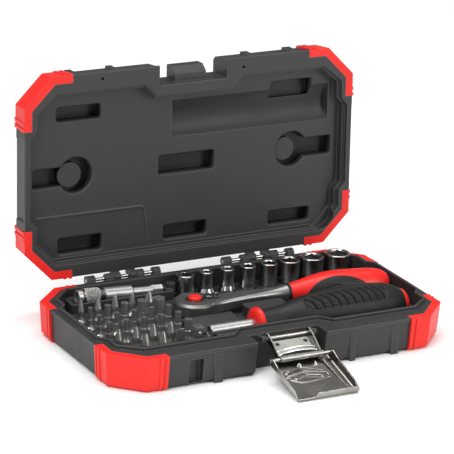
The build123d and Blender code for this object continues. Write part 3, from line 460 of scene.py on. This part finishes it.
# Driver grip: a turned skin with an oval patch of slanted ribs on its upper side.
gripShape = {"stations": (0, 14, 32, 60, 88, 104, 110),
             "radii": (9.0, 9.9, 13.9, 17.0, 16.4, 13.4, 10.4), "bore": 6.5, "aroundCount": 420,
             "alongCount": 420, "patchMiddle": 63.0, "patchHalfLength": 31.5, "patchAngle": 62.0,
             "patchHalfAngle": 27.0, "ribPitch": 5.9, "ribSlant": 0.085, "ribBow": 1.1,
             "dish": 0.4, "grooveDepth": 2.3, "stepAngle": 9.5, "stepDepth": 0.9}


def smoothCurve(x, stations, values):
    # Smooth curve through the stations: each span is a cubic whose end slopes are the mean slopes
    # of its neighbours.
    stations = np.array(stations, float)
    values = np.array(values, float)
    slopes = np.gradient(values, stations)
    k = np.clip(np.searchsorted(stations, x) - 1, 0, len(stations) - 2)
    width = stations[k + 1] - stations[k]
    t = (x - stations[k]) / width
    return ((2 * t**3 - 3 * t**2 + 1) * values[k] + (t**3 - 2 * t**2 + t) * width * slopes[k]
            + (3 * t**2 - 2 * t**3) * values[k + 1] + (t**3 - t**2) * width * slopes[k + 1])


def makeDriverGrip(s):
    # Radius = smooth profile along the axis, less a shallow oval dish, less deep narrow grooves
    # at every rib pitch (distance along + slant x angle + bow x angle squared), less small steps
    # around the angle that break every rib into a stack of short ones.
    low, high = boxMm("driver_grip")
    axisY = (low[1] + high[1]) / 2
    axisZ = (low[2] + high[2]) / 2
    x = np.linspace(s["stations"][0], s["stations"][-1], s["alongCount"])
    angle = np.linspace(0, 2 * pi, s["aroundCount"], endpoint=False)
    xx, aa = np.meshgrid(x, angle, indexing="ij")
    radius = smoothCurve(xx, s["stations"], s["radii"])
    degreesFrom = (np.degrees(aa) - s["patchAngle"] + 180) % 360 - 180
    across = degreesFrom / s["patchHalfAngle"]
    oval = ((xx - s["patchMiddle"]) / s["patchHalfLength"])**6 + np.abs(across)**5
    inside = 1 - smoothStep(oval, 0.7, 1.1)
    place = (xx - s["patchMiddle"] + s["ribSlant"] * degreesFrom + s["ribBow"] * across**2)
    phase = (place / s["ribPitch"]) % 1
    groove = 1 - smoothStep(np.abs(phase - 0.5), 0.10, 0.34)
    steps = (degreesFrom / s["stepAngle"] + 0.35 * np.abs(phase - 0.5)) % 1
    radius = radius - inside * (s["dish"] + s["grooveDepth"] * groove
                                + s["stepDepth"] * (1 - groove) * smoothStep(steps, 0.3, 1.0))
    low0 = np.full((1, len(angle)), s["bore"])
    radius = np.concatenate([low0, radius, low0])
    xx = np.concatenate([xx[:1], xx, xx[-1:]])
    aa = np.concatenate([aa[:1], aa, aa[-1:]])
    grid = np.stack([low[0] + xx, axisY - radius * np.cos(aa), axisZ + radius * np.sin(aa)],
                    axis=-1)
    return gridPiece("driver_grip_ribbed", [(grid, True, True)])


driverGrip = makeDriverGrip(gripShape)
addPiece(driverGrip, "driver", blackGrip, ["driver_grip"])
print("driver grip made")


# Knurled sleeve of the quick-release bit holder.
sleeveShape = {"bore": 4.05, "wideBore": 4.9, "narrowLength": 5.0, "radius": 5.7, "edge": 0.5,
               "length": 12.0, "knurls": 28, "knurlDepth": 0.42, "depthGain": 3.0,
               "alongKnurls": 7, "count": 240, "alongCount": 110}


def makeSleeve(s):
    # Outer radius = full radius minus the larger of two crossed sine grooves, which leaves
    # diamonds; the grooves fade out at both ends.
    low, high = boxMm("extension_sleeve")
    middle = (low + high) / 2
    axis = np.array(joints["extension_sleeve_slide"]["axis"], float)
    upward = np.array([-axis[2], 0, axis[0]])
    length = s["length"]
    t = np.linspace(0, 1, s["alongCount"])
    angle = np.linspace(0, 2 * pi, s["count"], endpoint=False)
    tt, aa = np.meshgrid(t, angle, indexing="ij")
    turns = s["knurls"] * aa / 2
    along = s["alongKnurls"] * pi * tt
    grooves = np.maximum(np.abs(np.sin(turns + along)), np.abs(np.sin(turns - along)))
    ends = smoothStep(np.minimum(tt, 1 - tt), 0.05, 0.12)
    edge = s["edge"] * (1 - smoothStep(np.minimum(tt, 1 - tt), 0.0, 0.05))
    radius = s["radius"] - edge - s["knurlDepth"] * ends * (1 - grooves) * s["depthGain"]
    x = (tt - 0.5) * length
    bottom = s["narrowLength"] - length / 2
    innerX = np.array([[length / 2], [bottom], [bottom], [-length / 2]])
    innerR = np.array([[s["wideBore"]], [s["wideBore"]], [s["bore"]], [s["bore"]]])
    x = np.concatenate([x, innerX + 0 * aa[:4]])
    radius = np.concatenate([radius, innerR + 0 * aa[:4]])
    aa = np.concatenate([aa, aa[:4]])
    grid = (middle + x[..., None] * axis + (radius * np.sin(aa))[..., None] * upward
            - (radius * np.cos(aa))[..., None] * np.array([0, 1, 0]))
    return gridPiece("extension_sleeve_knurled", [(grid, True, True)])


sleeve = makeSleeve(sleeveShape)
addPiece(sleeve, "extension_sleeve", knurledSteel, ["extension_sleeve"])
print("knurled sleeve made")


# Latch hasp: pressed sheet channel with an arched tongue and a turned-up lip.
haspShape = {"halfWidth": 23.2, "low": -5.0, "reach": 40.0, "sheet": 0.9, "bend": 2.2, "drop": 15.0,
             "flangeY": (-40.0, -37.5, -34.0, -20.0, -9.0, -1.8, 1.6, 2.4),
             "flangeTop": (-3.0, -1.6, 0.1, 0.6, 1.0, 2.4, 1.8, -1.6),
             "tail": 2.2, "alongCount": 190, "acrossCount": 170, "lipCount": 260,
             # peak x, peak y, fall to the left, fall to the right, left end, right end, height
             "ridges": ((-5.0, -7.6, 0.27, 0.46, -16.0, 10.5, 1.7),
                        (-4.2, -12.0, 0.20, 0.28, -17.0, 11.8, 1.5),
                        (-3.4, -15.8, 0.22, 0.25, -14.0, 6.8, 1.2)),
             "ridgeWidth": 0.65, "lineBottom": (-8.0, -22.3), "lineBow": (0.06, 0.005),
             "lineDepth": 0.5, "lineWidth": 0.35, "lineEnds": (-17.5, 12.0), "lineFade": 2,
             "nubs": ((-3.0, -3.6, 1.5, 1.3), (9.0, -3.8, 1.0, 2.0)), "nubHeight": 1.5,
             "lipTop": 0.4, "lipBend": 1.4, "notchEnd": -9.0, "notchDrop": 3.3,
             "nicks": (-2.2, 12.6), "nickDepth": 0.9, "nickWidth": 0.45,
             "cornerDrop": 1.6, "cornerFrom": 2.6, "cornerTo": 0.4}


def haspPlace(s, x, y, z):
    # Swing the flat-drawn part down about its pin and move it to the pin.
    pin = np.array(joints["latch_hasp_hinge"]["pos_m"]) / mm
    c, d = cos(radians(s["drop"])), sin(radians(s["drop"]))
    return np.stack([x, pin[1] + y * c - z * d, pin[2] + y * d + z * c], axis=-1)


def makeHasp(s):
    # Channel: across the width the sheet drops down one flange, round a quarter bend, along the
    # web, and up the other. The web rises in three ridges that fall away like a chevron from an
    # off-middle peak, in two nubs by the pin, and sinks along a thin bowed line.
    half = s["halfWidth"] - s["sheet"] / 2
    low = s["low"] + s["sheet"] / 2
    bend = s["bend"]
    y = np.linspace(-s["reach"] + s["sheet"] / 2, s["tail"], s["alongCount"])
    top = np.interp(y, s["flangeY"], s["flangeTop"])
    quarter = np.linspace(0, pi / 2, 9)
    rise = np.linspace(1, 0, 8)[:, None]
    flangeZ = low + bend + rise * (top - low - bend)
    flangeX = -half + 0 * flangeZ
    bendX = (-half + bend - bend * np.cos(quarter))[:, None] + 0 * y
    bendZ = (low + bend - bend * np.sin(quarter))[:, None] + 0 * y
    web = np.linspace(-half + bend, half - bend, s["acrossCount"])
    webX = web[:, None] + 0 * y
    webY = 0 * webX + y
    shape = np.zeros_like(webX)
    for peakX, peakY, leftFall, rightFall, leftEnd, rightEnd, height in s["ridges"]:
        away = webX - peakX
        middle = peakY + leftFall * np.minimum(away, 0) - rightFall * np.maximum(away, 0)
        window = (smoothStep(webX, leftEnd - 1.5, leftEnd + 1)
                  * (1 - smoothStep(webX, rightEnd - 1, rightEnd + 1.5)))
        shape += height * np.exp(-((webY - middle) / s["ridgeWidth"])**4) * window
    for nubX, nubY, nubWide, nubLong in s["nubs"]:
        away = -((webX - nubX) / nubWide)**4 - ((webY - nubY) / nubLong)**4
        shape += s["nubHeight"] * np.exp(away)
    fromBottom = webX - s["lineBottom"][0]
    leftBow, rightBow = s["lineBow"]
    line = (s["lineBottom"][1] + leftBow * np.minimum(fromBottom, 0)**2
            + rightBow * np.maximum(fromBottom, 0)**2)
    lineLeft, lineRight = s["lineEnds"]
    window = (smoothStep(webX, lineLeft, lineLeft + s["lineFade"])
              * (1 - smoothStep(webX, lineRight - s["lineFade"], lineRight)))
    shape -= s["lineDepth"] * np.exp(-((webY - line) / s["lineWidth"])**2) * window
    webZ = low + shape
    x = np.concatenate([flangeX, bendX, webX[1:-1], -bendX[::-1], -flangeX[::-1]])
    z = np.concatenate([flangeZ, bendZ, webZ[1:-1], bendZ[::-1], flangeZ[::-1]])
    channel = haspPlace(s, x, 0 * x + y, z)
    lipX = np.linspace(-half, half, s["lipCount"])
    notch = 1 - smoothStep(lipX, s["notchEnd"] - 1.6, s["notchEnd"] + 0.6)
    lipTop = s["lipTop"] - s["notchDrop"] * notch
    for nick in s["nicks"]:
        lipTop -= s["nickDepth"] * np.exp(-((lipX - nick) / s["nickWidth"])**2)
    lipTop -= s["cornerDrop"] * smoothStep(lipX, half - s["cornerFrom"], half - s["cornerTo"])
    lipBend = s["lipBend"]
    up = np.linspace(0, 1, 12)[:, None]
    endY = -s["reach"] + s["sheet"] / 2
    lipZ = low + lipBend + up * (lipTop - low - lipBend)
    turn = np.linspace(0, pi / 2, 8)[:, None]
    turnY = endY + lipBend - lipBend * np.sin(turn) + 0 * lipX
    turnZ = low + lipBend - lipBend * np.cos(turn) + 0 * lipX
    lipY = np.concatenate([turnY, endY + 0 * lipZ[1:]])
    lipAll = np.concatenate([turnZ, lipZ[1:]])
    lip = haspPlace(s, lipX + 0 * lipAll, lipY, lipAll)
    piece = gridPiece("latch_hasp_pressed", [(channel, False, False), (lip, False, False)])
    thicken(piece, s["sheet"], 0.0)
    roundEdges(piece, 0.2)
    return piece


# Spring strip inside the hasp.
stripShape = {"startX": 14.2, "spread": 3.4, "width": 1.6, "widening": 1.0, "startY": -1.5,
              "length": 34.5, "lift": 1.3, "clearance": 0.15, "thickness": 0.5, "count": 40}


def makeHaspStrip(s, t):
    # Four corners carried along the right-hand flange. Width = start width + widening x share, and
    # height = lift x (1 - share)^2 over the web.
    along = np.linspace(0, 1, t["count"])[:, None]
    corner = np.array([[0, 0], [1, 0], [1, 1], [0, 1]])
    width = t["width"] + t["widening"] * along
    x = t["startX"] + t["spread"] * along + width * corner[:, 0]
    y = t["startY"] - t["length"] * along + 0 * x
    z = (s["low"] + s["sheet"] + t["lift"] * (1 - along)**2 + t["clearance"]
         + t["thickness"] * corner[:, 1])
    grid = haspPlace(s, x, y, z)
    strip = gridPiece("latch_hasp_strip", [(grid, False, True)])
    shell = bmesh.new()
    shell.from_mesh(strip.data)
    bmesh.ops.holes_fill(shell, edges=[edge for edge in shell.edges if edge.is_boundary])
    bmesh.ops.recalc_face_normals(shell, faces=shell.faces)
    shell.to_mesh(strip.data)
    shell.free()
    strip.data.polygons.foreach_set("use_smooth", np.zeros(len(strip.data.polygons), bool))
    roundEdges(strip, 0.15)
    return strip


hasp = makeHasp(haspShape)
addPiece(hasp, "latch_hasp", latchSteel, ["latch_hasp"])
addPiece(makeHaspStrip(haspShape, stripShape), "latch_hasp", latchSteel)
print("hasp made")


# Two arched beads near the outer edge of the latch plate, with a near-black sheet of painted shade before the pin.
beadShape = {"halfWidth": 15.0, "radius": 0.75, "backs": (4.3, 7.6), "rise": 2.3, "count": 60,
             "lift": -1.0, "shadeSheetFrom": 2.5, "shadeSheetLift": -1.05}


def platePlace(along, lift, x):
    # From distance out along the plate, height over it and x to a point in the shared frame.
    inner = np.array(joints["latch_plate_hinge"]["pos_m"]) / mm
    outer = np.array(joints["latch_hasp_hinge"]["pos_m"]) / mm
    reach = np.linalg.norm(outer - inner)
    out = (outer - inner) / reach
    up = np.array([0, out[2], -out[1]])
    grid = inner + out * (reach - along)[..., None] + up * lift[..., None]
    grid[..., 0] += x
    return grid


def makePlateBeads(s):
    # Round beads carried along shallow arches: distance back = start + rise x (1 - (x / half)^2).
    grids = []
    x = np.linspace(-s["halfWidth"], s["halfWidth"], s["count"])
    turn = np.linspace(0, 2 * pi, 17)[:-1]
    radius = s["radius"] * np.sqrt(np.clip(1 - (x / (s["halfWidth"] + 0.001))**20, 0, 1))[:, None]
    for start in s["backs"]:
        back = (start + s["rise"] * (1 - (x / s["halfWidth"])**2))[:, None]
        grid = platePlace(back + radius * np.cos(turn), s["lift"] + radius * np.sin(turn),
                          x[:, None])
        grids.append((grid, False, True))
    return gridPiece("latch_plate_beads", grids)


def makePaintedGapShade(s):
    # Painted shade: a near-black strip laid on the plate between the pin and the nearer bead, following the same
    # arch.
    x = np.linspace(-s["halfWidth"], s["halfWidth"], s["count"])
    top = s["backs"][0] + s["rise"] * (1 - (x / s["halfWidth"])**2)
    share = np.linspace(0, 1, 6)[:, None]
    back = s["shadeSheetFrom"] + share * (top - s["shadeSheetFrom"])
    grid = platePlace(back, s["shadeSheetLift"] + 0 * back, x[None, :])
    shadeSheet = gridPiece("latch_plate_painted_gap_shade", [(grid, False, False)])
    thicken(shadeSheet, 0.3, 0.0)
    return shadeSheet


# Painted highlight: the beads get a far brighter steel than the plate they are pressed from.
addPiece(makePlateBeads(beadShape), "latch_plate", paintedHighlightSteel)
# Painted shade: near-black sheet on the latch plate before the pin.
addPiece(makePaintedGapShade(beadShape), "latch_plate", paintedGapShade)
print("plate beads made")


# Floor, world light, lamps and camera.
floorMaterial, floorTree, floorShader = startMaterial("paleFloor")
floorShader.inputs["Base Color"].default_value = (0.97, 0.97, 0.97, 1)
floorShader.inputs["Roughness"].default_value = 0.8
floorMesh = bpy.data.meshes.new("floor")
floorMesh.from_pydata([(-6, -6, 0), (6, -6, 0), (6, 6, 0), (-6, 6, 0)], [], [(0, 1, 2, 3)])
floorMesh.materials.append(floorMaterial)
floor = bpy.data.objects.new("floor", floorMesh)
bpy.context.collection.objects.link(floor)
floor.location.z = -0.0002

world = bpy.data.worlds.new("studio")
bpy.context.scene.world = world
world.use_nodes = True
worldTree = world.node_tree
sky = worldTree.nodes["Background"]
direction = worldTree.nodes.new("ShaderNodeTexCoord")
split = worldTree.nodes.new("ShaderNodeSeparateXYZ")
ramp = worldTree.nodes.new("ShaderNodeValToRGB")
link(worldTree, direction.outputs["Generated"], split.inputs[0])
link(worldTree, split.outputs["Z"], ramp.inputs[0])
link(worldTree, ramp.outputs["Color"], sky.inputs["Color"])
skyBands = ((0.0, 0.17), (0.5, 0.20), (0.80, 0.26), (0.91, 1.5), (1.0, 2.1))
while len(ramp.color_ramp.elements) < len(skyBands):
    ramp.color_ramp.elements.new(0.5)
for element, (place, value) in zip(ramp.color_ramp.elements, skyBands):
    element.position = place
    element.color = (value, value, value, 1)
sky.inputs["Strength"].default_value = 1.05


def addSoftbox(name, place, width, height, power):
    data = bpy.data.lights.new(name, "AREA")
    data.shape = "RECTANGLE"
    data.size = width
    data.size_y = height
    data.energy = power
    lamp = bpy.data.objects.new(name, data)
    lamp.location = place
    lamp.rotation_euler = (Vector(lampAim) - Vector(place)).to_track_quat("-Z", "Y").to_euler()
    bpy.context.collection.objects.link(lamp)


lampAim = (0, 0, 0.05)
# name, place in metres, width, height, watts
softboxes = (("overheadLeft", (-0.9, -0.5, 1.2), 0.9, 0.6, 12),
             ("frontRight", (0.9, -1.3, 0.9), 0.5, 0.8, 9),
             ("stripLeft", (-1.5, -0.9, 0.35), 0.2, 0.9, 3),
             ("stripRight", (1.2, -1.7, 0.4), 0.25, 0.9, 5),
             ("overheadBack", (0.1, 0.35, 1.5), 1.4, 0.4, 8))
for softbox in softboxes:
    addSoftbox(*softbox)
print("floor and lights made")

imageSide = 454
focalLength = 2945.86  # on a frame imageSide wide
cameraPlace = (-0.92368, -1.63951, 0.72937)
viewAzimuth, viewElevation, viewRoll = -0.5065, 0.3334, 0.0448
cameraData = bpy.data.cameras.new("camera")
cameraData.sensor_width = 36.0
cameraData.lens = focalLength / imageSide * cameraData.sensor_width
cameraData.clip_end = 50
camera = bpy.data.objects.new("camera", cameraData)
bpy.context.collection.objects.link(camera)
back = Vector((sin(viewAzimuth) * cos(viewElevation), -cos(viewAzimuth) * cos(viewElevation),
               sin(viewElevation)))
right = Vector((0, 0, 1)).cross(back).normalized()
up = back.cross(right)
rolledRight = right * cos(viewRoll) + up * sin(viewRoll)
rolledUp = up * cos(viewRoll) - right * sin(viewRoll)
turned = Matrix((rolledRight, rolledUp, back)).transposed().to_4x4()
turned.translation = Vector(cameraPlace)
camera.matrix_world = turned
bpy.context.scene.camera = camera
bpy.context.scene.view_settings.view_transform = "Standard"
bpy.context.scene.view_settings.look = "None"
